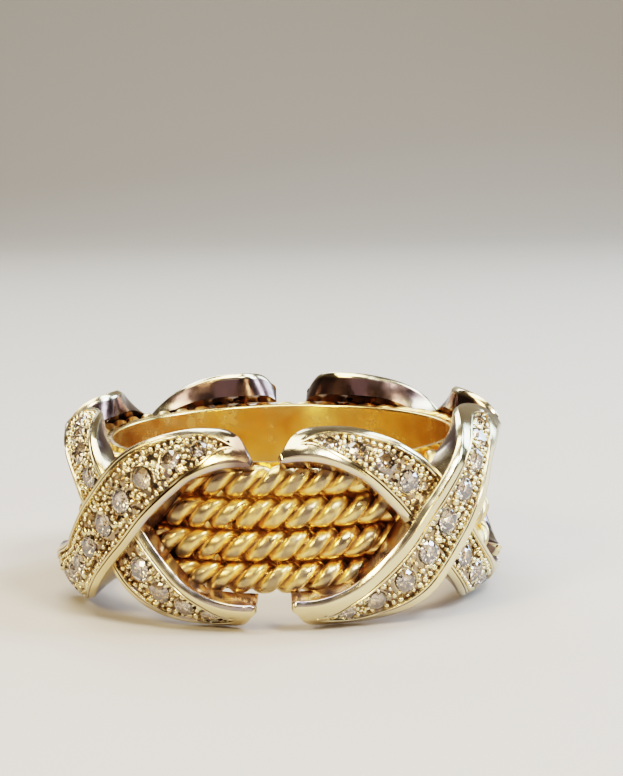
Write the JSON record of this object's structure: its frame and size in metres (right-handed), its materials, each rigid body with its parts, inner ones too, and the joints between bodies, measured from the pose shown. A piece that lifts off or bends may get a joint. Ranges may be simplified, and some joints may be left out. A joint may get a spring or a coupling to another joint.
{
  "type": "diamond band ring",
  "caption": "Finger ring whose band is twisted gold ropes side by side, with crossed curved ribbons of white metal over them, pave-set with round diamonds.",
  "frame": {"origin": "on the ring's axis, in the plane that the ring lies on when it lies on its side", "axes": "+Z along the ring's axis, up; -Y towards the open window of ropes at the picture's front; +X to the right seen from there"},
  "size_m": [0.0222, 0.0222, 0.0095],
  "materials": {
    "yellow_gold": "polished deep yellow gold, darker in the valleys of the twist",
    "white_metal": "polished warm white metal with fine wear",
    "diamond": "clear faceted brilliants"
  },
  "bodies": {
    "root": {"inner_band": "yellow_gold", "rope_1": "yellow_gold", "rope_2": "yellow_gold", "rope_3": "yellow_gold", "rope_4": "yellow_gold", "cross_1": "white_metal", "cross_2": "white_metal", "cross_3": "white_metal", "cross_4": "white_metal", "stones_1": "diamond", "stones_2": "diamond", "stones_3": "diamond", "stones_4": "diamond"}
  },
  "joints": []
}
